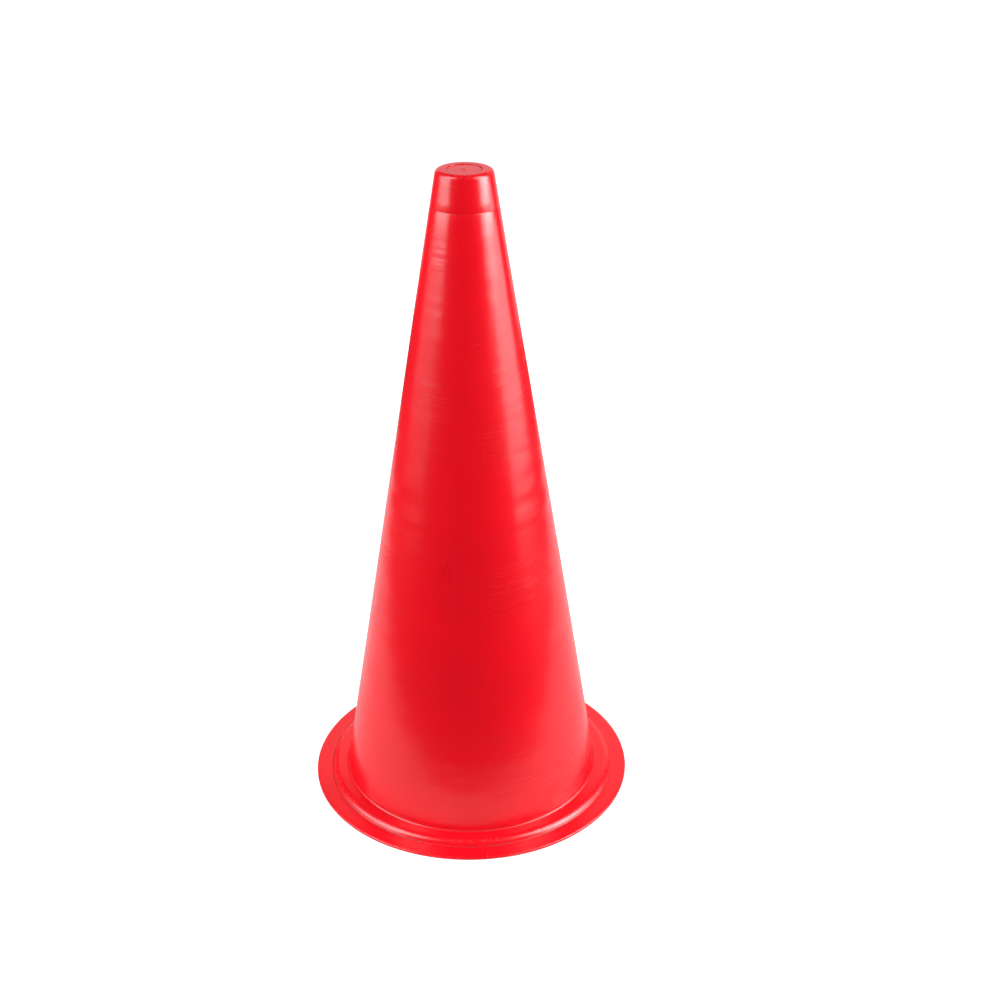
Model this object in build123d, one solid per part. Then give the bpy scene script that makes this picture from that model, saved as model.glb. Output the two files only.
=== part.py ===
from build123d import *
import os
from math import atan, cos, degrees

# Hollow moulded marker cone, in millimetres.
# Three polyethylene mouldings snap together: a tapered body that is open at both ends, a flanged
# base ring that drops over it and catches its foot lip, and a crown cap pushed into its neck.
# +Z is up along the cone's axis. The origin is the centre of the underside, on the floor.

# Overall sizes
height = 450.0
body_base_radius = 92.4      # outer wall line carried down to the floor
crown_radius = 18.4          # outer wall line carried up to the top of the crown
ledge_width = 11.0           # from the outer wall line at the floor to the foot of the step
riser_run = 1.8              # the step's riser leans in this far on its way up
flange_width = 11.6          # flat flange outside the step

# Walls
wall = 2.0                   # body wall, square to its surface
ring_wall = 2.0              # ledge of the base ring, and its riser where they meet
flange_thickness = 2.2
top_thickness = 2.2          # closed end of the crown cap

# Foot lip of the body, and the lugs of the base ring that snap under it
lip_thickness = 2.0
lip_rounding = 1.0
lip_edge_rounding = 0.4
mouth_rounding = 0.8
lug_count = 8
lug_width = 12.0
lug_reach = 2.0
lug_thickness = 1.3
lug_nose = 0.4               # blunt tip left by the lead-in slope
lug_lift = 0.6               # lugs stay this far off the floor

# Base ring outline
shoulder_rounding = 5.4
channel_rounding = 0.6
step_fillet = 0.8
rim_rounding = 1.0
rim_underside_rounding = 0.6
collar_rise = 2.2            # collar that closes the joint round the body's wall
collar_fillet = 1.8
collar_edge = 0.35

# Crown cap
cap_height = 23.0            # visible depth, from the seam to the top
crown_rounding = 3.0
dish_radius = 11.2
dish_depth = 0.4
dish_rounding = 0.3
gate_radius = 1.8
gate_height = 0.3
hollow_rounding = 2.0
spigot_length = 12.0
spigot_wall = 1.5
spigot_rounding = 0.5
bead_radius = 0.7            # ring on the spigot that clicks into the body's neck
bead_drop = 7.0              # below the seam
seam_depth = 0.25            # fine V-shaped line where the cap meets the body
seam_half_width = 0.8

# Clearances
lug_gap = 0.1                # under the lip
lip_clearance = 0.3          # between the lip and the riser
bore_clearance = 0.1         # between the body's wall and the base ring's tapered hole
spigot_clearance = 0.1
bead_clearance = 0.1

# Places worked out from the sizes above
taper = (body_base_radius - crown_radius) / height
wall_across = wall / cos(atan(taper))
lug_top = lug_lift + lug_thickness
lip_bottom = lug_top + lug_gap
lip_top = lip_bottom + lip_thickness
ledge_height = lip_top + ring_wall
collar_top = ledge_height + collar_rise
step_radius = body_base_radius + ledge_width
shoulder_radius = step_radius - riser_run
foot_radius = step_radius + flange_width
channel_radius = shoulder_radius - ring_wall
lip_radius = channel_radius - lip_clearance
seam_height = height - cap_height
spigot_bottom = seam_height - spigot_length
bead_height = seam_height - bead_drop
dish_height = height - dish_depth
hollow_height = height - top_thickness


def outer(z):
    """Radius of the cone's outer surface at height z."""
    return crown_radius + taper * (height - z)


def inner(z):
    """Radius of the body's inner surface at height z."""
    return outer(z) - wall_across


def spigot(z):
    """Radius of the cap's spigot at height z, just inside the body's neck."""
    return inner(z) - spigot_clearance


def outline(corners):
    """Closed half-section in the XZ plane, from (radius, height, corner rounding) points."""
    points = [(radius, z) for radius, z, rounding in corners]
    roundings = [rounding for radius, z, rounding in corners]
    with BuildSketch(Plane.XZ) as section:
        with BuildLine():
            FilletPolyline(*points, radius=roundings, close=True)
        make_face()
    return section.sketch


def turned(corners):
    """Solid of revolution about the cone's axis."""
    return revolve(outline(corners), Axis.Z)


def bead_ring(radius):
    """Round ring lying on the spigot's surface, for the snap bead or its groove."""
    with BuildSketch(Plane.XZ) as section:
        with Locations((spigot(bead_height), bead_height)):
            Circle(radius)
    return revolve(section.sketch, Axis.Z)


def make_cone_body():
    """Tapered wall with an out-turned foot lip, open at the foot and at the neck."""
    body = turned(
        [
            (lip_radius, lip_bottom, lip_edge_rounding),
            (lip_radius, lip_top, lip_rounding),
            (outer(lip_top), lip_top, 0),
            (outer(seam_height - seam_half_width), seam_height - seam_half_width, 0),
            (outer(seam_height) - seam_depth, seam_height, 0),
            (inner(seam_height), seam_height, 0),
            (inner(lip_bottom), lip_bottom, mouth_rounding),
        ]
    )
    return body - bead_ring(bead_radius + bead_clearance)


def make_lug():
    """One snap lug, rooted in the riser and sloped on its underside to ride over the lip."""
    root_radius = channel_radius + ring_wall / 2
    tip_radius = channel_radius - lug_reach
    section = outline(
        [
            (root_radius, lug_lift, 0),
            (channel_radius, lug_lift, 0),
            (tip_radius, lug_top - lug_nose, 0),
            (tip_radius, lug_top, 0),
            (root_radius, lug_top, 0),
        ]
    )
    arc = degrees(lug_width / channel_radius)
    return Rot(0, 0, -arc / 2) * revolve(section, Axis.Z, arc)


def make_base_ring():
    """Flat flange, raised ledge with a channel under it, and the collar round the body."""
    ring = turned(
        [
            (foot_radius, 0, rim_underside_rounding),
            (foot_radius, flange_thickness, rim_rounding),
            (step_radius, flange_thickness, step_fillet),
            (shoulder_radius, ledge_height, shoulder_rounding),
            (outer(collar_top) + bore_clearance + collar_edge, ledge_height, collar_fillet),
            (outer(collar_top) + bore_clearance + collar_edge, collar_top, 0),
            (outer(collar_top) + bore_clearance, collar_top, 0),
            (outer(lip_top) + bore_clearance, lip_top, 0),
            (channel_radius, lip_top, channel_rounding),
            (channel_radius, 0, 0),
        ]
    )
    return ring + PolarLocations(0, lug_count) * make_lug()


def make_crown_cap():
    """Rounded closed top with a shallow dish and gate mark, and a hollow spigot below."""
    cap = turned(
        [
            (0, dish_height + gate_height, 0),
            (gate_radius, dish_height + gate_height, 0),
            (gate_radius, dish_height, 0),
            (dish_radius, dish_height, 0),
            (dish_radius, height, dish_rounding),
            (outer(height), height, crown_rounding),
            (outer(seam_height + seam_half_width), seam_height + seam_half_width, 0),
            (outer(seam_height) - seam_depth, seam_height, 0),
            (spigot(seam_height), seam_height, 0),
            (spigot(spigot_bottom), spigot_bottom, spigot_rounding),
            (spigot(spigot_bottom) - spigot_wall, spigot_bottom, spigot_rounding),
            (spigot(hollow_height) - spigot_wall, hollow_height, hollow_rounding),
            (0, hollow_height, 0),
        ]
    )
    return cap + bead_ring(bead_radius)


pieces = {
    "cone_body": make_cone_body(),
    "base_ring": make_base_ring(),
    "crown_cap": make_crown_cap(),
}

os.makedirs("parts", exist_ok=True)
for name, piece in pieces.items():
    export_step(piece, f"parts/{name}.step")
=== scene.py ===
import math

import bmesh
import bpy
from bpy.props import FloatProperty, FloatVectorProperty, IntProperty, PointerProperty
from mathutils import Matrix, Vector


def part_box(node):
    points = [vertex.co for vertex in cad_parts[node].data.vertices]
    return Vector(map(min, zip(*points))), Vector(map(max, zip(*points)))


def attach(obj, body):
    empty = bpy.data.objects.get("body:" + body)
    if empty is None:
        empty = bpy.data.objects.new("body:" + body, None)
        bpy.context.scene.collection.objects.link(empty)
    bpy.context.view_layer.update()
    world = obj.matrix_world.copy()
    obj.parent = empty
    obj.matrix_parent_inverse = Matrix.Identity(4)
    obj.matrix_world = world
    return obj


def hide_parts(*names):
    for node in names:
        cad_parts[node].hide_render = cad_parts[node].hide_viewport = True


bl_info = {
    "name": "Marker Cone",
    "version": (1, 0, 0),
    "blender": (4, 5, 0),
    "location": "3D Viewport > Sidebar > Cone",
    "description": "Moulded marker cone with a base ring, a tapered body and a crown cap, in a studio",
    "category": "Add Mesh",
}

MM = 0.001

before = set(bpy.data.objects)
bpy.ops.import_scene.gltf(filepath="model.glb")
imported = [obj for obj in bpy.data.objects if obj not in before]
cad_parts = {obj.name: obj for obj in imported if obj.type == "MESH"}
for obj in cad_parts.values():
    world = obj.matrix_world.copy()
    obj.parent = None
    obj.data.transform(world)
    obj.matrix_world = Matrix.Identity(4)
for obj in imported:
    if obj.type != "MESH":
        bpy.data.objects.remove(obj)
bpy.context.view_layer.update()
body_low, body_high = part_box("cone_body")
ring_low, ring_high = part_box("base_ring")
cap_low, cap_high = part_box("crown_cap")

# Smallest distance that parts two vertices of a mesh
MERGE_DISTANCE = 0.001 * MM
# How near a vertex lies to the place it is picked by
PICK_DISTANCE = 0.01 * MM
# Turn of each facet of a rounded corner
ROUNDING_STEP = math.radians(15)
# Edges sharper than this stay sharp in the shading
SMOOTH_ANGLE = math.radians(32)

# Turn in degrees and height of the places where the turning lines always show, and their half sizes
LINE_WINDOWS = ((-40.0, 0.215), (-38.0, 0.305), (64.0, 0.262), (58.0, 0.335))
WINDOW_SIZE = (0.045, 0.045, 0.03)
# Heights of the turning lines, of the broader bands and of the slow waves, in relief steps
FINE_STEPS = 2.0
BROAD_STEPS = 8.0
WAVE_STEPS = 40.0
# How far the edges are rubbed, from 0 to 1
RUB = 0.4
# Heights of the blister, the pit, the speck and the nick, in relief steps
PIMPLE_STEPS = 4.0
PIT_STEPS = -3.0
SPECK_STEPS = 3.0
NICK_STEPS = -3.0
# Scuff directions: turn in radians, and the stretch of the noise that thins it to strokes
SCUFF_STROKES = ((0.5, (60.0, 60.0, 900.0)), (-0.9, (900.0, 50.0, 60.0)), (2.1, (50.0, 900.0, 70.0)))


# ---------------------------------------------------------------------------------------------
# Sizes and colours
# ---------------------------------------------------------------------------------------------


def length_property(name, description, default):
    """A size in metres, which the panel shows in the scene's units."""
    return FloatProperty(name=name, description=description, default=default, unit="LENGTH", precision=5)


def angle_property(name, description, degrees):
    """An angle, with its default in degrees."""
    return FloatProperty(
        name=name, description=description, default=math.radians(degrees), subtype="ANGLE", unit="ROTATION"
    )


def colour_property(name, description, default):
    """A linear colour."""
    return FloatVectorProperty(name=name, description=description, default=default, subtype="COLOR")


def share_property(name, description, default):
    """A number from 0 to 1."""
    return FloatProperty(name=name, description=description, default=default, min=0.0, max=1.0)


class ConeShapeSettings(bpy.types.PropertyGroup):
    """The taper that all three mouldings share, and how finely they are turned."""

    crown_radius: length_property("Crown radius", "Outer wall line at the very top", 18.4 * MM)
    base_radius: length_property("Base radius", "Outer wall line carried down to the floor", 92.4 * MM)
    wall: length_property("Wall", "Thickness of the tapered wall, square to its surface", 2.0 * MM)
    seam_depth: length_property("Seam depth", "Depth of the fine line where cap and body meet", 0.25 * MM)
    seam_half_width: length_property("Seam half width", "Half the height of that fine line", 0.8 * MM)
    row_spacing: length_property("Row spacing", "Longest step between rows of the walls", 6.0 * MM)
    warp: length_property("Warp", "How far the moulding has cooled out of true", 0.5 * MM)
    warp_size: length_property("Warp size", "Distance over which the warp swings", 140.0 * MM)
    segments: IntProperty(name="Segments", description="Faces round each turned piece", default=320, min=64)


class ConeBodySettings(bpy.types.PropertyGroup):
    """The tapered body."""

    lip_thickness: length_property("Lip thickness", "Out-turned lip at the foot", 2.0 * MM)
    lip_rounding: length_property("Lip rounding", "Upper edge of the lip", 1.0 * MM)
    edge_rounding: length_property("Edge rounding", "Lower edges of the foot", 0.4 * MM)
    groove_radius: length_property("Groove radius", "Groove in the neck for the cap's bead", 0.8 * MM)


class BaseRingSettings(bpy.types.PropertyGroup):
    """The flanged base ring."""

    flange_thickness: length_property("Flange thickness", "Flat flange", 2.2 * MM)
    flange_width: length_property("Flange width", "From the step's riser to the rim", 11.6 * MM)
    riser_run: length_property("Riser run", "How far the riser leans in on its way up", 1.8 * MM)
    ring_wall: length_property("Ring wall", "Ledge, and riser where they meet", 2.0 * MM)
    shoulder_rounding: length_property("Shoulder rounding", "Edge between riser and ledge", 5.4 * MM)
    step_fillet: length_property("Step fillet", "Inner corner at the foot of the riser", 0.8 * MM)
    rim_rounding: length_property("Rim rounding", "Upper edge of the flange's rim", 1.0 * MM)
    under_rounding: length_property("Underside rounding", "Lower edge of the rim", 0.6 * MM)
    channel_rounding: length_property("Channel rounding", "Inner corner of the channel", 0.6 * MM)
    collar_rise: length_property("Collar rise", "Collar that hugs the body's wall", 2.2 * MM)
    collar_fillet: length_property("Collar fillet", "Inner corner between ledge and collar", 1.8 * MM)
    collar_edge: length_property("Collar edge", "Thickness of the collar's upper edge", 0.35 * MM)
    bore_clearance: length_property("Bore clearance", "Between the collar and the body's wall", 0.1 * MM)
    lug_lift: length_property("Lug lift", "Height of the snap lugs off the floor", 0.6 * MM)
    lug_thickness: length_property("Lug thickness", "Snap lugs under the body's lip", 1.3 * MM)
    lug_reach: length_property("Lug reach", "How far a snap lug stands out", 2.0 * MM)
    lug_width: length_property("Lug width", "Length of a snap lug round the ring", 12.0 * MM)
    lug_slope: length_property("Lug slope", "How far the lead-in raises a lug's lower edge", 0.9 * MM)
    lug_count: IntProperty(name="Lugs", description="Snap lugs round the ring", default=8, min=3)


class CrownCapSettings(bpy.types.PropertyGroup):
    """The crown cap."""

    top_thickness: length_property("Top thickness", "Closed end", 2.2 * MM)
    shoulder_rounding: length_property("Shoulder rounding", "Edge of the crown", 3.0 * MM)
    dish_radius: length_property("Dish radius", "Shallow dish in the top", 11.2 * MM)
    dish_depth: length_property("Dish depth", "Depth of the dish", 0.4 * MM)
    dish_rounding: length_property("Dish rounding", "Rim of the dish", 0.3 * MM)
    gate_radius: length_property("Gate radius", "Trimmed gate at the centre", 1.8 * MM)
    gate_height: length_property("Gate height", "Height of the trimmed gate", 0.3 * MM)
    gate_rounding: length_property("Gate rounding", "Edge of the trimmed gate", 0.15 * MM)
    hollow_rounding: length_property("Hollow rounding", "Inner corner under the closed end", 2.0 * MM)
    spigot_wall: length_property("Spigot wall", "Wall of the spigot in the body's neck", 1.5 * MM)
    spigot_clearance: length_property("Spigot clearance", "Between the spigot and the neck", 0.1 * MM)
    spigot_rounding: length_property("Spigot rounding", "Lower edges of the spigot", 0.5 * MM)
    bead_radius: length_property("Bead radius", "Snap bead round the spigot", 0.7 * MM)
    bead_drop: length_property("Bead drop", "Depth of the bead below the seam", 7.0 * MM)


class PlasticSettings(bpy.types.PropertyGroup):
    """The red polyethylene."""

    red: colour_property("Red", "Colour of the plastic", (0.82, 0.0028, 0.0115))
    dark_red: colour_property("Dark red", "Colour in flow streaks and specks", (0.42, 0.0025, 0.008))
    worn_red: colour_property("Worn red", "Colour of rubbed edges and scuffs", (0.82, 0.045, 0.05))
    # Colour of the painted shade laid into the creases
    dirt: colour_property("Dirt", "Colour of dirt in the creases", (0.26, 0.010, 0.012))
    roughness: share_property("Roughness", "Semi-gloss skin", 0.24)
    specular: share_property("Specular", "Specular IOR level of the skin", 0.6)
    subsurface: share_property("Subsurface", "Share of the light that scatters under the skin", 0.08)
    scatter: length_property("Scatter", "How far light scatters under the skin", 4.0 * MM)
    cloud_shade: share_property("Cloud shade", "Dark red in the densest clouds", 0.16)
    cloud_gloss: share_property("Cloud gloss", "Swing of roughness from cloud to cloud", 0.10)
    worn_shade: share_property("Worn shade", "Worn red in the most rubbed places", 0.55)
    worn_gloss: share_property("Worn gloss", "Roughness that rubbing adds", 0.2)
    # Depth and roughness of the painted shade in the creases
    crease_shade_depth: share_property("Dirt shade", "Dirt in the fullest creases", 0.8)
    crease_shade_gloss: share_property("Dirt gloss", "Roughness that dirt adds", 0.3)
    line_gloss: share_property("Line gloss", "Roughness that turning lines add", 0.03)
    grain_height: share_property("Grain height", "Height of the grain, in relief steps", 0.25)
    relief_step: length_property("Relief step", "Height of one step of relief", 0.04 * MM)
    relief_strength: share_property("Relief strength", "How strongly relief turns the surface", 0.35)


class MarkSettings(bpy.types.PropertyGroup):
    """Single marks in the skin. A turn is measured from the front (-Y), to the right."""

    speck_turn: angle_property("Speck turn", "Dark speck of burnt plastic in the body", -31.0)
    speck_height: length_property("Speck height", "Dark speck in the body", 282.0 * MM)
    speck_size: length_property("Speck size", "Half width of the dark speck", 0.8 * MM)
    pimple_turn: angle_property("Pimple turn", "Small round blister near the neck", -5.2)
    pimple_height: length_property("Pimple height", "Small round blister near the neck", 410.0 * MM)
    pimple_size: length_property("Pimple size", "Half width of the blister", 1.7 * MM)
    streak_turn: angle_property("Streak turn", "Thin upright flow streaks in the body", -15.8)
    streak_height: length_property("Streak height", "Middle of the flow streaks", 190.0 * MM)
    streak_reach: length_property("Streak reach", "Half height of the flow streaks", 20.0 * MM)
    streak_spread: length_property("Streak spread", "Half width of the bunch of streaks", 8.0 * MM)
    dent_turn: angle_property("Dent turn", "Small pit low on the body", 42.3)
    dent_height: length_property("Dent height", "Small pit low on the body", 124.5 * MM)
    dent_size: length_property("Dent size", "Half width of the pit", 1.5 * MM)
    nick_turn: angle_property("Nick turn", "Short level nick under the crown's shoulder", -36.6)
    nick_height: length_property("Nick height", "Short level nick under the crown's shoulder", 447.0 * MM)
    nick_length: length_property("Nick length", "Half length of the nick", 2.4 * MM)
    nick_width: length_property("Nick width", "Half width of the nick", 0.7 * MM)


class StudioSettings(bpy.types.PropertyGroup):
    """Camera, lights and floor."""

    camera_distance: length_property("Camera distance", "From the cone's axis, level", 0.9583)
    camera_height: length_property("Camera height", "Above the floor", 0.7056)
    camera_tilt: angle_property("Camera tilt", "Downwards", 26.93)
    camera_turn: angle_property("Camera turn", "To the right", 1.30)
    camera_roll: angle_property("Camera roll", "Clockwise", 0.14)
    lens: FloatProperty(name="Lens", description="Focal length", default=56.2, subtype="DISTANCE_CAMERA")
    table_radius: length_property("Table radius", "Lit white table under the cone", 0.5)
    table_shift: length_property("Table shift", "How far the table's middle lies behind the cone", 0.3)
    table_grey: share_property("Table grey", "Brightness of the table's paint", 0.38)
    sweep_grey: share_property("Sweep grey", "Brightness of the sweep's paint", 0.45)
    table_glow: share_property("Table glow", "How brightly the table is lit from below", 0.26)
    room_light: share_property("Room light", "Stray light from all round", 0.05)
    light_reach: length_property("Light reach", "From the cone's axis to the softboxes, level", 1.1)


# ---------------------------------------------------------------------------------------------
# Modelling by hand
# ---------------------------------------------------------------------------------------------


def taper_radius(z, inset=0.0):
    """Radius of the tapered wall's outer surface at height z, or of a surface inset square to it."""
    shape = bpy.context.scene.cone_shape
    slope = (shape.base_radius - shape.crown_radius) / cap_high.z
    return shape.crown_radius + slope * (cap_high.z - z) - inset * math.hypot(1.0, slope)


def start_point(name, radius, z):
    """A new object with a single vertex at (radius, 0, z), open in edit mode."""
    bpy.ops.object.select_all(action="DESELECT")
    bpy.ops.mesh.primitive_plane_add(size=MM, location=(radius, 0.0, z))
    piece = bpy.context.object
    piece.name = name
    piece.data.name = name
    bpy.ops.object.transform_apply(location=True, rotation=True, scale=True)
    bpy.ops.object.mode_set(mode="EDIT")
    bpy.ops.mesh.select_mode(type="VERT")
    bpy.ops.mesh.select_all(action="SELECT")
    bpy.ops.mesh.merge(type="CENTER")
    return piece


def pick(piece, element, test):
    """Selects only the vertices, edges or faces whose middle passes the test. Returns how many."""
    bpy.ops.mesh.select_all(action="DESELECT")
    bpy.ops.mesh.select_mode(type={"verts": "VERT", "edges": "EDGE", "faces": "FACE"}[element])
    mesh = bmesh.from_edit_mesh(piece.data)
    count = 0
    for item in getattr(mesh, element):
        if element == "verts":
            middle = item.co
        elif element == "edges":
            middle = (item.verts[0].co + item.verts[1].co) / 2
        else:
            middle = item.calc_center_median()
        if test(middle):
            item.select_set(True)
            count += 1
    mesh.select_flush_mode()
    bmesh.update_edit_mesh(piece.data)
    return count


def draw_outline(name, corners, closed):
    """Draws a half-section in the XZ plane, from (radius, height, rounding) corners, by extruding
    a vertex from corner to corner and bevelling the rounded ones. The piece stays in edit mode."""
    piece = start_point(name, corners[0][0], corners[0][1])
    for here, there in zip(corners, corners[1:]):
        step = (there[0] - here[0], 0.0, there[1] - here[1])
        bpy.ops.mesh.extrude_region_move(TRANSFORM_OT_translate={"value": step})
    if closed:
        ends = [Vector((corners[0][0], 0.0, corners[0][1])), Vector((corners[-1][0], 0.0, corners[-1][1]))]
        pick(piece, "verts", lambda place: min((place - end).length for end in ends) < PICK_DISTANCE)
        bpy.ops.mesh.edge_face_add()
    for index, corner in enumerate(corners):
        if corner[2]:
            round_corner(piece, corners, index)
    return piece


def round_corner(piece, corners, index):
    """Rounds one corner of an outline to its radius, with a vertex bevel."""
    radius, z, rounding = corners[index]
    before = corners[index - 1]
    after = corners[(index + 1) % len(corners)]
    corner = Vector((radius, 0.0, z))
    towards_before = Vector((before[0], 0.0, before[1])) - corner
    towards_after = Vector((after[0], 0.0, after[1])) - corner
    angle = towards_before.angle(towards_after)
    setback = rounding / math.tan(angle / 2)
    pick(piece, "verts", lambda place: (place - corner).length < PICK_DISTANCE)
    bpy.ops.mesh.bevel(
        offset=setback, offset_type="OFFSET", affect="VERTICES", profile=0.5,
        segments=max(3, round((math.pi - angle) / ROUNDING_STEP)),
    )


def divide_long_edges(piece, spacing):
    """Cuts each long straight edge of the outline into steps no longer than spacing."""
    mesh = bmesh.from_edit_mesh(piece.data)
    long_edges = [
        ((edge.verts[0].co + edge.verts[1].co) / 2, math.ceil(edge.calc_length() / spacing) - 1)
        for edge in mesh.edges
        if edge.calc_length() > spacing
    ]
    for middle, cuts in long_edges:
        pick(piece, "edges", lambda place: (place - middle).length < PICK_DISTANCE)
        bpy.ops.mesh.subdivide(number_cuts=cuts)


def turn_outline(piece, segments):
    """Spins the outline once round the cone's axis and closes the seam and the poles."""
    bpy.ops.mesh.select_all(action="SELECT")
    bpy.ops.mesh.spin(
        steps=segments, angle=2 * math.pi, center=(0, 0, 0), axis=(0, 0, 1), use_auto_merge=True
    )
    bpy.ops.mesh.select_all(action="SELECT")
    bpy.ops.mesh.remove_doubles(threshold=MERGE_DISTANCE)
    bpy.ops.mesh.normals_make_consistent(inside=False)


def half_round(centre_z, radius, inset, steps=6):
    """Outline corners of a half-round bead or groove that stands outwards from the wall's inset line."""
    shape = bpy.context.scene.cone_shape
    slope = (shape.base_radius - shape.crown_radius) / cap_high.z
    line_angle = math.atan2(1.0, -slope)
    centre = Vector((taper_radius(centre_z, inset), centre_z))
    corners = []
    for step in range(steps + 1):
        angle = line_angle - math.pi * step / steps
        corners.append((centre.x + radius * math.cos(angle), centre.y + radius * math.sin(angle), 0))
    return corners


def warp(piece, direction, seed_shift):
    """Lets the moulding sag a little out of true along one axis, by a smooth clouds pattern."""
    shape = bpy.context.scene.cone_shape
    clouds = bpy.data.textures.new(f"cooling_warp_{direction}_{piece.name}", "CLOUDS")
    clouds.noise_scale = shape.warp_size * seed_shift
    clouds.noise_depth = 0
    modifier = piece.modifiers.new(f"warp_{direction}", "DISPLACE")
    modifier.texture = clouds
    modifier.texture_coords = "LOCAL"
    modifier.direction = direction
    modifier.strength = shape.warp
    modifier.mid_level = 0.5
    bpy.context.view_layer.objects.active = piece
    bpy.ops.object.modifier_apply(modifier=modifier.name)


def finish_piece(piece, node, material):
    """Leaves edit mode, warps and smooths the piece, and puts it in its CAD node's place."""
    bpy.ops.object.mode_set(mode="OBJECT")
    warp(piece, "X", 1.0)
    warp(piece, "Y", 1.15)
    bpy.ops.object.shade_smooth_by_angle(angle=SMOOTH_ANGLE)
    piece.data.materials.clear()
    piece.data.materials.append(material)
    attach(piece, "root")
    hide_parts(node)


# ---------------------------------------------------------------------------------------------
# Plastic
# ---------------------------------------------------------------------------------------------


def new_group(name, inputs, outputs):
    """An empty shader node group with its sockets. Returns the tree, its input node and output node."""
    tree = bpy.data.node_groups.new(name, "ShaderNodeTree")
    for label, kind, default in inputs:
        socket = tree.interface.new_socket(name=label, in_out="INPUT", socket_type=kind)
        if default is not None:
            socket.default_value = default
    for label, kind in outputs:
        tree.interface.new_socket(name=label, in_out="OUTPUT", socket_type=kind)
    return tree, tree.nodes.new("NodeGroupInput"), tree.nodes.new("NodeGroupOutput")


def math_node(tree, operation, first, second=None, third=None):
    """A Math node fed by sockets or numbers. Returns its output."""
    node = tree.nodes.new("ShaderNodeMath")
    node.operation = operation
    for socket, value in zip(node.inputs, (first, second, third)):
        if isinstance(value, (int, float)):
            socket.default_value = value
        elif value is not None:
            tree.links.new(value, socket)
    return node.outputs[0]


def ramp_between(tree, value, low, high, to_low=0.0, to_high=1.0):
    """Maps value smoothly from low..high to to_low..to_high. Returns the result."""
    node = tree.nodes.new("ShaderNodeMapRange")
    node.interpolation_type = "SMOOTHSTEP"
    tree.links.new(value, node.inputs["Value"])
    for label, number in (("From Min", low), ("From Max", high), ("To Min", to_low), ("To Max", to_high)):
        node.inputs[label].default_value = number
    return node.outputs["Result"]


def noise(tree, vector, scale, detail=2.0, roughness=0.5):
    """A noise value over a vector. Returns its factor."""
    node = tree.nodes.new("ShaderNodeTexNoise")
    node.inputs["Scale"].default_value = scale
    node.inputs["Detail"].default_value = detail
    node.inputs["Roughness"].default_value = roughness
    tree.links.new(vector, node.inputs["Vector"])
    return node.outputs["Fac"]


def scaled(tree, vector, scale, shift=(0.0, 0.0, 0.0)):
    """The vector stretched by scale and moved by shift."""
    node = tree.nodes.new("ShaderNodeMapping")
    node.inputs["Scale"].default_value = scale
    node.inputs["Location"].default_value = shift
    tree.links.new(vector, node.inputs["Vector"])
    return node.outputs["Vector"]


def object_place(tree):
    """Object coordinates, the height above the floor and the distance from the cone's axis."""
    place = tree.nodes.new("ShaderNodeTexCoord").outputs["Object"]
    parts = tree.nodes.new("ShaderNodeSeparateXYZ")
    tree.links.new(place, parts.inputs[0])
    x, y, z = parts.outputs
    x_square = math_node(tree, "MULTIPLY", x, x)
    y_square = math_node(tree, "MULTIPLY", y, y)
    reach = math_node(tree, "SQRT", math_node(tree, "ADD", x_square, y_square))
    return place, z, reach


def turning_lines_group():
    """Level lines that a turned mould leaves, clear only in patches, over slow waves in the skin."""
    tree, given, result = new_group(
        "turning_lines",
        [("Amount", "NodeSocketFloat", 1.0)],
        [("Relief", "NodeSocketFloat"), ("Lines", "NodeSocketFloat")],
    )
    place = object_place(tree)[0]
    fine = noise(tree, scaled(tree, place, (12.0, 12.0, 420.0)), 1.0, 2.0, 0.6)
    broad = noise(tree, scaled(tree, place, (9.0, 9.0, 150.0), (3.0, 1.0, 7.0)), 1.0, 1.0)
    waves = noise(tree, scaled(tree, place, (22.0, 22.0, 50.0), (1.0, 4.0, 2.0)), 1.0, 1.0)
    shifted = scaled(tree, place, (1.0, 1.0, 1.0), (0.4, 0.2, 0.9))
    patches = ramp_between(tree, noise(tree, shifted, 11.0), 0.42, 0.62)
    for turn, height in LINE_WINDOWS:
        window = spot(tree, place, on_wall(math.radians(turn), height), WINDOW_SIZE)
        patches = math_node(tree, "MAXIMUM", patches, window)
    lines = math_node(tree, "MULTIPLY", ramp_between(tree, fine, 0.3, 0.7), patches)
    relief = math_node(tree, "MULTIPLY", lines, FINE_STEPS)
    relief = math_node(tree, "MULTIPLY_ADD", broad, BROAD_STEPS, relief)
    relief = math_node(tree, "MULTIPLY_ADD", waves, WAVE_STEPS, relief)
    tree.links.new(math_node(tree, "MULTIPLY", lines, given.outputs["Amount"]), result.inputs["Lines"])
    tree.links.new(math_node(tree, "MULTIPLY", relief, given.outputs["Amount"]), result.inputs["Relief"])
    return tree


def skin_group():
    """Faint cloudiness of moulded polyethylene: slow swings of gloss, and a very fine grain."""
    tree, given, result = new_group(
        "moulded_skin",
        [("Cloud Size", "NodeSocketFloat", 18.0), ("Grain Size", "NodeSocketFloat", 2600.0)],
        [("Clouds", "NodeSocketFloat"), ("Grain", "NodeSocketFloat")],
    )
    place = object_place(tree)[0]
    clouds = tree.nodes.new("ShaderNodeTexNoise")
    clouds.inputs["Detail"].default_value = 3.0
    grain = tree.nodes.new("ShaderNodeTexNoise")
    grain.inputs["Detail"].default_value = 1.0
    for node, size in ((clouds, "Cloud Size"), (grain, "Grain Size")):
        tree.links.new(place, node.inputs["Vector"])
        tree.links.new(given.outputs[size], node.inputs["Scale"])
    tree.links.new(clouds.outputs["Fac"], result.inputs["Clouds"])
    tree.links.new(grain.outputs["Fac"], result.inputs["Grain"])
    return tree


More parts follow.
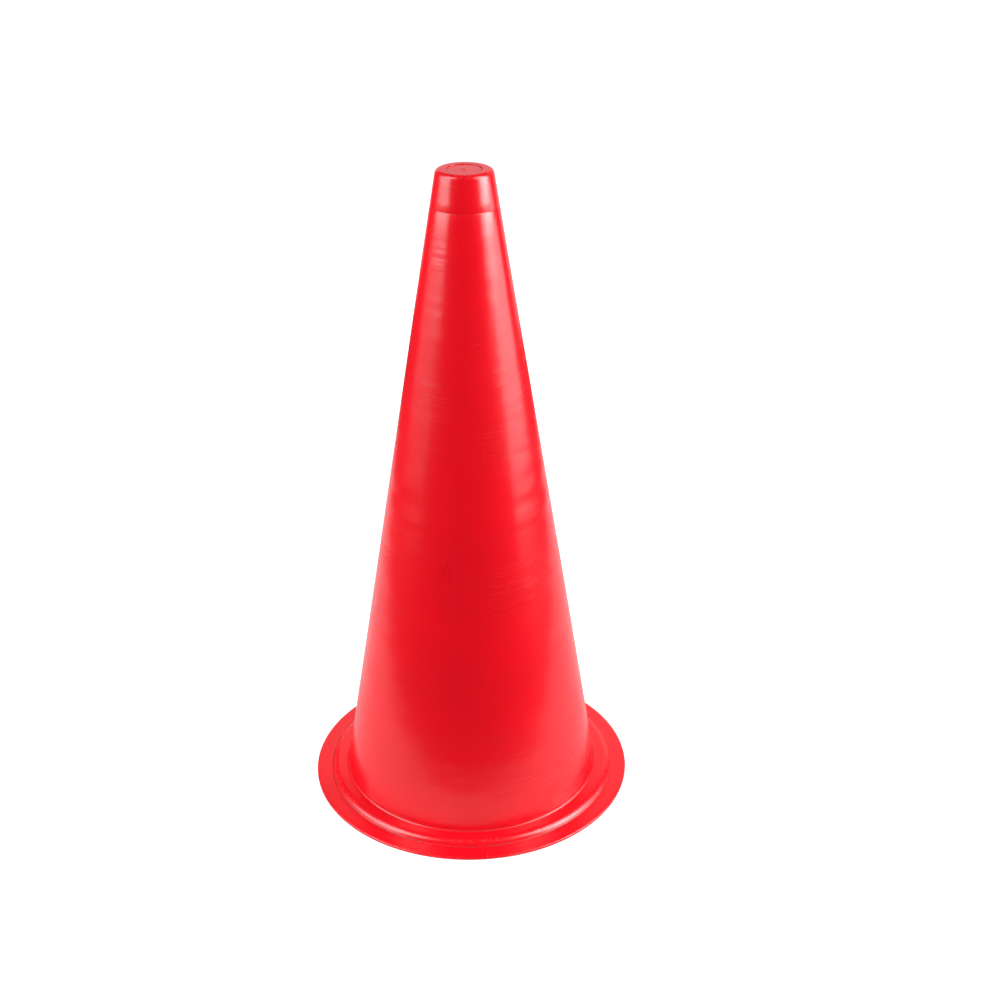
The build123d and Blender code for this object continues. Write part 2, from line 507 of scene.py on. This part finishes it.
def scuff_group():
    """Handling marks: short thin scratches in three directions, where patches allow them."""
    tree, given, result = new_group(
        "scuffs",
        [("Amount", "NodeSocketFloat", 1.0)],
        [("Scuffs", "NodeSocketFloat")],
    )
    place = object_place(tree)[0]
    shifted = scaled(tree, place, (1.0, 1.0, 1.0), (5.1, 2.2, 3.7))
    patches = ramp_between(tree, noise(tree, shifted, 26.0), 0.52, 0.7)
    strokes = None
    for turn, stretch in SCUFF_STROKES:
        node = tree.nodes.new("ShaderNodeMapping")
        node.inputs["Rotation"].default_value = (turn, turn * 0.6, turn * 0.3)
        node.inputs["Scale"].default_value = stretch
        tree.links.new(place, node.inputs["Vector"])
        thin = ramp_between(tree, noise(tree, node.outputs["Vector"], 1.0, 0.0), 0.74, 0.84)
        strokes = thin if strokes is None else math_node(tree, "MAXIMUM", strokes, thin)
    scuffs = math_node(tree, "MULTIPLY", strokes, patches)
    tree.links.new(math_node(tree, "MULTIPLY", scuffs, given.outputs["Amount"]), result.inputs["Scuffs"])
    return tree


def on_wall(turn, height):
    """The point of the outer wall at a turn from the front to the right, and a height."""
    radius = taper_radius(height)
    return radius * math.sin(turn), -radius * math.cos(turn), height


def spot(tree, place, centre, size):
    """A soft-edged mask round a point, 1 at the centre, with half sizes along X, Y and Z."""
    node = tree.nodes.new("ShaderNodeMapping")
    node.inputs["Location"].default_value = tuple(-c / s for c, s in zip(centre, size))
    node.inputs["Scale"].default_value = tuple(1 / s for s in size)
    tree.links.new(place, node.inputs["Vector"])
    length = tree.nodes.new("ShaderNodeVectorMath")
    length.operation = "LENGTH"
    tree.links.new(node.outputs["Vector"], length.inputs[0])
    return ramp_between(tree, length.outputs["Value"], 0.25, 1.0, 1.0, 0.0)


def ring_group(name, output, grain, low, high):
    """A mask along a level edge or crease, given by its radius and height, broken up by noise:
    grain is its scale, and it is clear above high and gone below low."""
    tree, given, result = new_group(
        name,
        [
            ("Ring Radius", "NodeSocketFloat", 0.1),
            ("Ring Height", "NodeSocketFloat", 0.0),
            ("Width", "NodeSocketFloat", 0.001),
            ("Amount", "NodeSocketFloat", 1.0),
        ],
        [(output, "NodeSocketFloat")],
    )
    place, z, reach = object_place(tree)
    across = math_node(tree, "SUBTRACT", reach, given.outputs["Ring Radius"])
    above = math_node(tree, "SUBTRACT", z, given.outputs["Ring Height"])
    across_square = math_node(tree, "POWER", across, 2.0)
    squares = math_node(tree, "ADD", across_square, math_node(tree, "POWER", above, 2.0))
    distance = math_node(tree, "DIVIDE", math_node(tree, "SQRT", squares), given.outputs["Width"])
    near = ramp_between(tree, distance, 0.2, 1.0, 1.0, 0.0)
    patches = ramp_between(tree, noise(tree, place, 45.0, 2.0), 0.38, 0.62, 0.25, 1.0)
    flecks = ramp_between(tree, noise(tree, place, grain, 3.0, 0.6), low, high)
    mask = math_node(tree, "MULTIPLY", math_node(tree, "MULTIPLY", near, patches), flecks)
    tree.links.new(math_node(tree, "MULTIPLY", mask, given.outputs["Amount"]), result.inputs[output])
    return tree


def place_group(tree, label, **values):
    """Places a node group in a material, with its own input values. Returns its first output."""
    node = tree.nodes.new("ShaderNodeGroup")
    node.node_tree = bpy.data.node_groups[label]
    for name, value in values.items():
        node.inputs[name.replace("_", " ").title()].default_value = value
    return node.outputs[0]


def add_masks(tree, masks):
    """The strongest of several masks at each point, or nothing."""
    strongest = None
    for mask in masks:
        strongest = mask if strongest is None else math_node(tree, "MAXIMUM", strongest, mask)
    return strongest


def blend_colour(tree, mask, under, over):
    """Lays a plain colour over another, or over a socket, by a mask. Returns the result."""
    mix = tree.nodes.new("ShaderNodeMix")
    mix.data_type = "RGBA"
    mix.clamp_factor = True
    tree.links.new(mask, mix.inputs["Factor"])
    if isinstance(under, bpy.types.NodeSocket):
        tree.links.new(under, mix.inputs[6])
    else:
        mix.inputs[6].default_value = (*under, 1.0)
    mix.inputs[7].default_value = (*over, 1.0)
    return mix.outputs[2]


def streaks(tree, place, marks):
    """Thin dark upright streaks where the plastic folded over itself as it filled the mould."""
    window = spot(
        tree, place, on_wall(marks.streak_turn, marks.streak_height),
        (marks.streak_spread, marks.streak_spread, marks.streak_reach),
    )
    thin = noise(tree, scaled(tree, place, (430.0, 430.0, 22.0), (0.3, 0.0, 0.0)), 1.0, 1.0)
    return math_node(tree, "MULTIPLY", window, ramp_between(tree, thin, 0.5, 0.62))


def plastic(name, lines, scuffs, edges=(), creases=(), single_marks=None):
    """Red semi-gloss polyethylene, with its own strength of turning lines and scuffs. The edges are
    rubbed and the creases get painted shade: each is a (radius, height, width) ring. single_marks
    gives the masks of dark spots and of raised or sunken spots, from the tree, a place and the settings."""
    settings = bpy.context.scene.cone_plastic
    material = bpy.data.materials.new(name)
    material.use_nodes = True
    tree = material.node_tree
    shader = tree.nodes["Principled BSDF"]
    shader.inputs["IOR"].default_value = 1.5
    shader.inputs["Specular IOR Level"].default_value = settings.specular
    shader.inputs["Subsurface Weight"].default_value = settings.subsurface
    shader.inputs["Subsurface Radius"].default_value = (1.0, 0.15, 0.1)
    shader.inputs["Subsurface Scale"].default_value = settings.scatter

    turning = place_group(tree, "turning_lines", amount=lines)
    clouds = place_group(tree, "moulded_skin")
    grain = clouds.node.outputs["Grain"]
    scratches = place_group(tree, "scuffs", amount=scuffs)
    rubbed = [
        place_group(tree, "edge_wear", ring_radius=radius, ring_height=height, width=width, amount=RUB)
        for radius, height, width in edges
    ]
    # Masks of painted shade along the creases
    shaded_creases = [
        place_group(tree, "crease_dirt", ring_radius=radius, ring_height=height, width=width)
        for radius, height, width in creases
    ]
    dark, relief = [], None
    if single_marks:
        dark, relief = single_marks(tree, object_place(tree)[0], bpy.context.scene.cone_marks)

    shade = ramp_between(tree, clouds, 0.25, 0.75, 0.0, settings.cloud_shade)
    colour = blend_colour(tree, shade, settings.red, settings.dark_red)
    # Dark marks: real specks and flow streaks on the body, and painted shade in the crown's nick
    for mask in dark:
        colour = blend_colour(tree, mask, colour, settings.dark_red)
    smoothest = settings.roughness - settings.cloud_gloss / 2
    gloss = math_node(tree, "MULTIPLY_ADD", clouds, settings.cloud_gloss, smoothest)
    worn = add_masks(tree, [scratches, *rubbed])
    shade = math_node(tree, "MULTIPLY", worn, settings.worn_shade)
    colour = blend_colour(tree, shade, colour, settings.worn_red)
    gloss = math_node(tree, "MULTIPLY_ADD", worn, settings.worn_gloss, gloss)
    gloss = math_node(tree, "MULTIPLY_ADD", turning.node.outputs["Lines"], settings.line_gloss, gloss)
    # Painted shade: the creases are darkened towards a dark red, and made a little rougher
    if shaded_creases:
        dirt = add_masks(tree, shaded_creases)
        shade = math_node(tree, "MULTIPLY", dirt, settings.crease_shade_depth)
        colour = blend_colour(tree, shade, colour, settings.dirt)
        gloss = math_node(tree, "MULTIPLY_ADD", dirt, settings.crease_shade_gloss, gloss)
    tree.links.new(colour, shader.inputs["Base Color"])
    tree.links.new(gloss, shader.inputs["Roughness"])

    height = math_node(tree, "MULTIPLY_ADD", grain, settings.grain_height, turning)
    height = math_node(tree, "SUBTRACT", height, worn)
    if relief is not None:
        height = math_node(tree, "ADD", height, relief)
    bump = tree.nodes.new("ShaderNodeBump")
    bump.inputs["Strength"].default_value = settings.relief_strength
    bump.inputs["Distance"].default_value = settings.relief_step
    tree.links.new(height, bump.inputs["Height"])
    tree.links.new(bump.outputs["Normal"], shader.inputs["Normal"])
    return material


def body_marks(tree, place, marks):
    """The body's single marks: dark masks, and the relief of the blister and the pit."""
    speck = spot(tree, place, on_wall(marks.speck_turn, marks.speck_height), (marks.speck_size,) * 3)
    pimple = spot(tree, place, on_wall(marks.pimple_turn, marks.pimple_height), (marks.pimple_size,) * 3)
    pit = spot(tree, place, on_wall(marks.dent_turn, marks.dent_height), (marks.dent_size,) * 3)
    flow = math_node(tree, "MULTIPLY", streaks(tree, place, marks), 0.35)
    relief = math_node(tree, "MULTIPLY", pit, PIT_STEPS)
    relief = math_node(tree, "MULTIPLY_ADD", pimple, PIMPLE_STEPS, relief)
    relief = math_node(tree, "MULTIPLY_ADD", speck, SPECK_STEPS, relief)
    return [speck, flow], relief


def crown_marks(tree, place, marks):
    """The crown's single mark: a short level nick under its shoulder, sunken in relief and darkened with
    painted shade.
    """
    half_size = (marks.nick_length, marks.nick_length, marks.nick_width)
    nick = spot(tree, place, on_wall(marks.nick_turn, marks.nick_height), half_size)
    # Painted shade: the nick is darkened towards dark red
    return [math_node(tree, "MULTIPLY", nick, 0.6)], math_node(tree, "MULTIPLY", nick, NICK_STEPS)


def make_groups():
    """The node groups that the three plastics share."""
    turning_lines_group()
    skin_group()
    scuff_group()
    ring_group("edge_wear", "Wear", 500.0, 0.44, 0.6)
    # Mask of painted shade along the creases
    ring_group("crease_dirt", "Dirt", 900.0, 0.30, 0.55)


# ---------------------------------------------------------------------------------------------
# Pieces
# ---------------------------------------------------------------------------------------------


class CONE_OT_body(bpy.types.Operator):
    """Model the tapered body: a thin wall, open at both ends, with an out-turned lip at its foot"""

    bl_idname = "cone.model_body"
    bl_label = "Model Body"
    bl_options = {"REGISTER", "UNDO"}

    def execute(self, context):
        shape = context.scene.cone_shape
        body = context.scene.cone_body
        cap = context.scene.cone_cap
        lip_top = body_low.z + body.lip_thickness
        seam = body_high.z
        groove = half_round(seam - cap.bead_drop, body.groove_radius, shape.wall + cap.spigot_clearance)
        corners = [
            (body_high.x, body_low.z, body.edge_rounding),
            (body_high.x, lip_top, body.lip_rounding),
            (taper_radius(lip_top), lip_top, 0),
            (taper_radius(seam - shape.seam_half_width), seam - shape.seam_half_width, 0),
            (taper_radius(seam) - shape.seam_depth, seam, 0),
            (taper_radius(seam, shape.wall), seam, 0),
            *groove,
            (taper_radius(body_low.z, shape.wall), body_low.z, body.edge_rounding),
        ]
        piece = draw_outline("tapered_body", corners, closed=True)
        divide_long_edges(piece, shape.row_spacing)
        turn_outline(piece, shape.segments)
        material = plastic("red_body_plastic", 1.0, 0.08, single_marks=body_marks)
        finish_piece(piece, "cone_body", material)
        return {"FINISHED"}


class CONE_OT_base_ring(bpy.types.Operator):
    """Model the base ring: flange, step, ledge, collar and the snap lugs under the ledge"""

    bl_idname = "cone.model_base_ring"
    bl_label = "Model Base Ring"
    bl_options = {"REGISTER", "UNDO"}

    def execute(self, context):
        shape = context.scene.cone_shape
        ring = context.scene.cone_ring
        rim = ring_high.x
        riser = rim - ring.flange_width
        shoulder = riser - ring.riser_run
        channel = shoulder - ring.ring_wall
        collar_top = ring_high.z
        ledge = collar_top - ring.collar_rise
        roof = ledge - ring.ring_wall
        collar = taper_radius(collar_top) + ring.bore_clearance
        lug_top = ring.lug_lift + ring.lug_thickness
        corners = [
            (rim, 0.0, ring.under_rounding),
            (rim, ring.flange_thickness, ring.rim_rounding),
            (riser, ring.flange_thickness, ring.step_fillet),
            (shoulder, ledge, ring.shoulder_rounding),
            (collar + ring.collar_edge, ledge, ring.collar_fillet),
            (collar + ring.collar_edge, collar_top, 0),
            (collar, collar_top, 0),
            (taper_radius(roof) + ring.bore_clearance, roof, 0),
            (channel, roof, ring.channel_rounding),
            (channel, lug_top, 0),
            (channel, ring.lug_lift, 0),
            (channel, 0.0, 0),
        ]
        piece = draw_outline("flanged_base_ring", corners, closed=True)
        divide_long_edges(piece, shape.row_spacing)
        turn_outline(piece, shape.segments)
        self.pull_lugs(piece, ring, channel, lug_top)
        material = plastic(
            "red_foot_plastic", 0.3, 0.35,
            edges=[
                (rim - 0.3 * MM, ring.flange_thickness - 0.3 * MM, 1.1 * MM),
                (shoulder - 0.6 * MM, ledge - 0.8 * MM, 1.8 * MM),
            ],
            # These creases get painted shade
            creases=[(riser, ring.flange_thickness, 1.2 * MM), (collar + ring.collar_edge, ledge, 1.3 * MM)],
        )
        finish_piece(piece, "base_ring", material)
        return {"FINISHED"}

    def pull_lugs(self, piece, ring, channel, lug_top):
        """Extrudes the snap lugs inwards from the channel's wall and slopes their lower edges."""
        tip = channel - ring.lug_reach
        pitch = 2 * math.pi / ring.lug_count
        half_turn = ring.lug_width / channel / 2

        def on_lug(place):
            off_centre = abs((math.atan2(place.y, place.x) + pitch / 2) % pitch - pitch / 2)
            return off_centre < half_turn

        def lug_band(place):
            reach = math.hypot(place.x, place.y)
            return abs(reach - channel) < 0.1 * MM and ring.lug_lift < place.z < lug_top and on_lug(place)

        if not pick(piece, "faces", lug_band):
            raise RuntimeError("no faces of the channel lie where the lugs are")
        squeeze = tip / channel
        bpy.ops.mesh.extrude_region_move(TRANSFORM_OT_translate={"value": (0, 0, 0)})
        bpy.ops.transform.resize(value=(squeeze, squeeze, 1.0), center_override=(0, 0, 0))

        def lower_tip(place):
            at_tip = abs(math.hypot(place.x, place.y) - tip) < 0.1 * MM
            return at_tip and place.z < ring.lug_lift + PICK_DISTANCE

        pick(piece, "verts", lower_tip)
        bpy.ops.transform.translate(value=(0, 0, ring.lug_slope))


class CONE_OT_crown_cap(bpy.types.Operator):
    """Model the crown cap: rounded closed top with a shallow dish, and a spigot with a snap bead"""

    bl_idname = "cone.model_crown_cap"
    bl_label = "Model Crown Cap"
    bl_options = {"REGISTER", "UNDO"}

    def execute(self, context):
        shape = context.scene.cone_shape
        cap = context.scene.cone_cap
        top = cap_high.z
        seam = body_high.z
        dish = top - cap.dish_depth
        hollow = top - cap.top_thickness
        spigot_inset = shape.wall + cap.spigot_clearance

        def spigot(z):
            return taper_radius(z, shape.wall) - cap.spigot_clearance

        bead = half_round(seam - cap.bead_drop, cap.bead_radius, spigot_inset)
        corners = [
            (0.0, dish + cap.gate_height, 0),
            (cap.gate_radius, dish + cap.gate_height, cap.gate_rounding),
            (cap.gate_radius, dish, 0),
            (cap.dish_radius, dish, 0),
            (cap.dish_radius, top, cap.dish_rounding),
            (taper_radius(top), top, cap.shoulder_rounding),
            (taper_radius(seam + shape.seam_half_width), seam + shape.seam_half_width, 0),
            (taper_radius(seam) - shape.seam_depth, seam, 0),
            (spigot(seam), seam, 0),
            *bead,
            (spigot(cap_low.z), cap_low.z, cap.spigot_rounding),
            (spigot(cap_low.z) - cap.spigot_wall, cap_low.z, cap.spigot_rounding),
            (spigot(hollow) - cap.spigot_wall, hollow, cap.hollow_rounding),
            (0.0, hollow, 0),
        ]
        piece = draw_outline("crown_cap_moulding", corners, closed=False)
        divide_long_edges(piece, shape.row_spacing)
        turn_outline(piece, shape.segments)
        material = plastic(
            "red_crown_plastic", 0.5, 0.3,
            edges=[(taper_radius(top) - 0.9 * MM, top - 0.9 * MM, 1.8 * MM)],
            # The dish rim and the seam get painted shade
            creases=[(cap.dish_radius, dish, 0.8 * MM), (taper_radius(seam), seam, 0.7 * MM)],
            single_marks=crown_marks,
        )
        finish_piece(piece, "crown_cap", material)
        return {"FINISHED"}


# ---------------------------------------------------------------------------------------------
# Studio
# ---------------------------------------------------------------------------------------------


def softbox(name, turn, height, size, power, glossy=True, diffuse=True, target=0.25):
    """A rectangular softbox at a turn from the front to the right, in degrees, and a height. It
    faces a target height on the cone's axis and has its size in metres. It leaves no reflection
    where glossy is off, and nothing but its reflection where diffuse is off."""
    light = bpy.data.lights.new(name, "AREA")
    light.shape = "RECTANGLE"
    light.size, light.size_y = size
    light.energy = power
    lamp = bpy.data.objects.new(name, light)
    bpy.context.scene.collection.objects.link(lamp)
    reach = bpy.context.scene.cone_studio.light_reach
    lamp.location = (reach * math.sin(math.radians(turn)), -reach * math.cos(math.radians(turn)), height)
    lamp.rotation_euler = (Vector((0.0, 0.0, target)) - lamp.location).to_track_quat("-Z", "Y").to_euler()
    lamp.visible_camera = False
    lamp.visible_glossy = glossy
    lamp.visible_diffuse = diffuse
    light.cycles.use_multiple_importance_sampling = glossy
    return lamp


def floor_material(name, grey, glow):
    """Matt floor, lit from below by glow, and overlit to the eye as a white sweep is."""
    material = bpy.data.materials.new(name)
    material.use_nodes = True
    tree = material.node_tree
    shader = tree.nodes["Principled BSDF"]
    shader.inputs["Base Color"].default_value = (grey, grey, grey, 1.0)
    shader.inputs["Roughness"].default_value = 0.8
    shader.inputs["Specular IOR Level"].default_value = 0.1
    seen = tree.nodes.new("ShaderNodeLightPath").outputs["Is Camera Ray"]
    shader.inputs["Emission Color"].default_value = (1.0, 1.0, 1.0, 1.0)
    tree.links.new(math_node(tree, "MAXIMUM", seen, glow), shader.inputs["Emission Strength"])
    return material


def add_camera(studio):
    """The camera in front of the cone, tilted down to it."""
    camera = bpy.data.objects.new("camera", bpy.data.cameras.new("camera"))
    bpy.context.scene.collection.objects.link(camera)
    camera.data.sensor_width = 36.0
    camera.data.lens = studio.lens
    camera.location = (0.0, -studio.camera_distance, studio.camera_height)
    camera.rotation_euler = (math.pi / 2 - studio.camera_tilt, 0.0, -studio.camera_turn)
    camera.rotation_euler.rotate_axis("Z", -studio.camera_roll)
    bpy.context.scene.camera = camera


class CONE_OT_studio(bpy.types.Operator):
    """Set up the studio: white table and sweep, softboxes, world and camera"""

    bl_idname = "cone.set_up_studio"
    bl_label = "Set Up Studio"
    bl_options = {"REGISTER", "UNDO"}

    def execute(self, context):
        studio = context.scene.cone_studio
        bpy.ops.object.select_all(action="DESELECT")
        bpy.ops.mesh.primitive_circle_add(
            vertices=96, radius=studio.table_radius, fill_type="NGON", location=(0.0, studio.table_shift, 0.0)
        )
        table = context.object
        table.name = "white_table"
        table.data.materials.append(floor_material("table_white", studio.table_grey, studio.table_glow))
        bpy.ops.object.select_all(action="DESELECT")
        bpy.ops.mesh.primitive_plane_add(size=60.0, location=(0.0, 0.0, -0.5 * MM))
        sweep = context.object
        sweep.name = "white_sweep"
        sweep.data.materials.append(floor_material("sweep_white", studio.sweep_grey, 0.0))
        sweep.visible_glossy = False
        sweep.visible_diffuse = False

        softbox("right_softbox", turn=77.0, height=0.7, size=(0.92, 0.68), power=14.0, target=0.7)
        softbox("right_softbox_core", turn=78.0, height=0.7, size=(0.46, 0.68), power=6.0, target=0.7)
        softbox("right_low_card", turn=88.0, height=0.18, size=(0.9, 0.34), power=2.8, target=0.18)
        softbox("left_softbox", turn=-78.0, height=0.7, size=(0.92, 0.68), power=10.0, target=0.7)
        softbox("left_softbox_core", turn=-78.0, height=0.7, size=(0.46, 0.68), power=6.0, target=0.7)
        softbox("left_low_card", turn=-88.0, height=0.18, size=(0.9, 0.34), power=0.6, target=0.18)
        softbox("right_high_card", turn=68.0, height=1.35, size=(0.8, 0.7), power=15.0, diffuse=False)
        softbox("left_high_card", turn=-68.0, height=1.35, size=(0.8, 0.7), power=14.0, diffuse=False)
        softbox("back_card", turn=172.0, height=0.5, size=(1.6, 1.0), power=3.0, target=0.5)
        softbox("front_fill", turn=-16.0, height=0.8, size=(1.8, 1.4), power=9.5, glossy=False)
        softbox("back_fill", turn=180.0, height=1.5, size=(1.8, 1.2), power=17.0, glossy=False)
        # A dim room as the cone sees it, and a plain white backdrop for the camera
        world = bpy.data.worlds.new("studio_room")
        world.use_nodes = True
        room = world.node_tree.nodes["Background"]
        room.inputs["Color"].default_value = (1.0, 1.0, 1.0, 1.0)
        seen = world.node_tree.nodes.new("ShaderNodeLightPath").outputs["Is Camera Ray"]
        dim = math_node(world.node_tree, "MAXIMUM", seen, studio.room_light)
        world.node_tree.links.new(dim, room.inputs["Strength"])
        context.scene.world = world
        context.scene.view_settings.view_transform = "Standard"
        add_camera(studio)
        return {"FINISHED"}


# ---------------------------------------------------------------------------------------------
# Panel and registration
# ---------------------------------------------------------------------------------------------


class CONE_PT_panel(bpy.types.Panel):
    """Buttons and settings of the marker cone"""

    bl_label = "Marker Cone"
    bl_idname = "CONE_PT_panel"
    bl_space_type = "VIEW_3D"
    bl_region_type = "UI"
    bl_category = "Cone"

    def draw(self, context):
        layout = self.layout
        for operator in (CONE_OT_body, CONE_OT_base_ring, CONE_OT_crown_cap, CONE_OT_studio):
            layout.operator(operator.bl_idname)
        for holder, group in SETTINGS.items():
            box = layout.box()
            box.label(text=group.__doc__)
            settings = getattr(context.scene, holder)
            for label in group.__annotations__:
                box.prop(settings, label)


SETTINGS = {
    "cone_shape": ConeShapeSettings,
    "cone_body": ConeBodySettings,
    "cone_ring": BaseRingSettings,
    "cone_cap": CrownCapSettings,
    "cone_plastic": PlasticSettings,
    "cone_marks": MarkSettings,
    "cone_studio": StudioSettings,
}

CLASSES = (
    *SETTINGS.values(),
    CONE_OT_body,
    CONE_OT_base_ring,
    CONE_OT_crown_cap,
    CONE_OT_studio,
    CONE_PT_panel,
)


def register():
    for cls in CLASSES:
        bpy.utils.register_class(cls)
    for holder, group in SETTINGS.items():
        setattr(bpy.types.Scene, holder, PointerProperty(type=group))


def unregister():
    for holder in SETTINGS:
        delattr(bpy.types.Scene, holder)
    for cls in reversed(CLASSES):
        bpy.utils.unregister_class(cls)


def main():
    """Registers the add-on, models the pieces and sets up the studio."""
    register()
    make_groups()
    bpy.ops.cone.model_body()
    bpy.ops.cone.model_base_ring()
    bpy.ops.cone.model_crown_cap()
    bpy.ops.cone.set_up_studio()


if __name__ == "__main__":
    main()
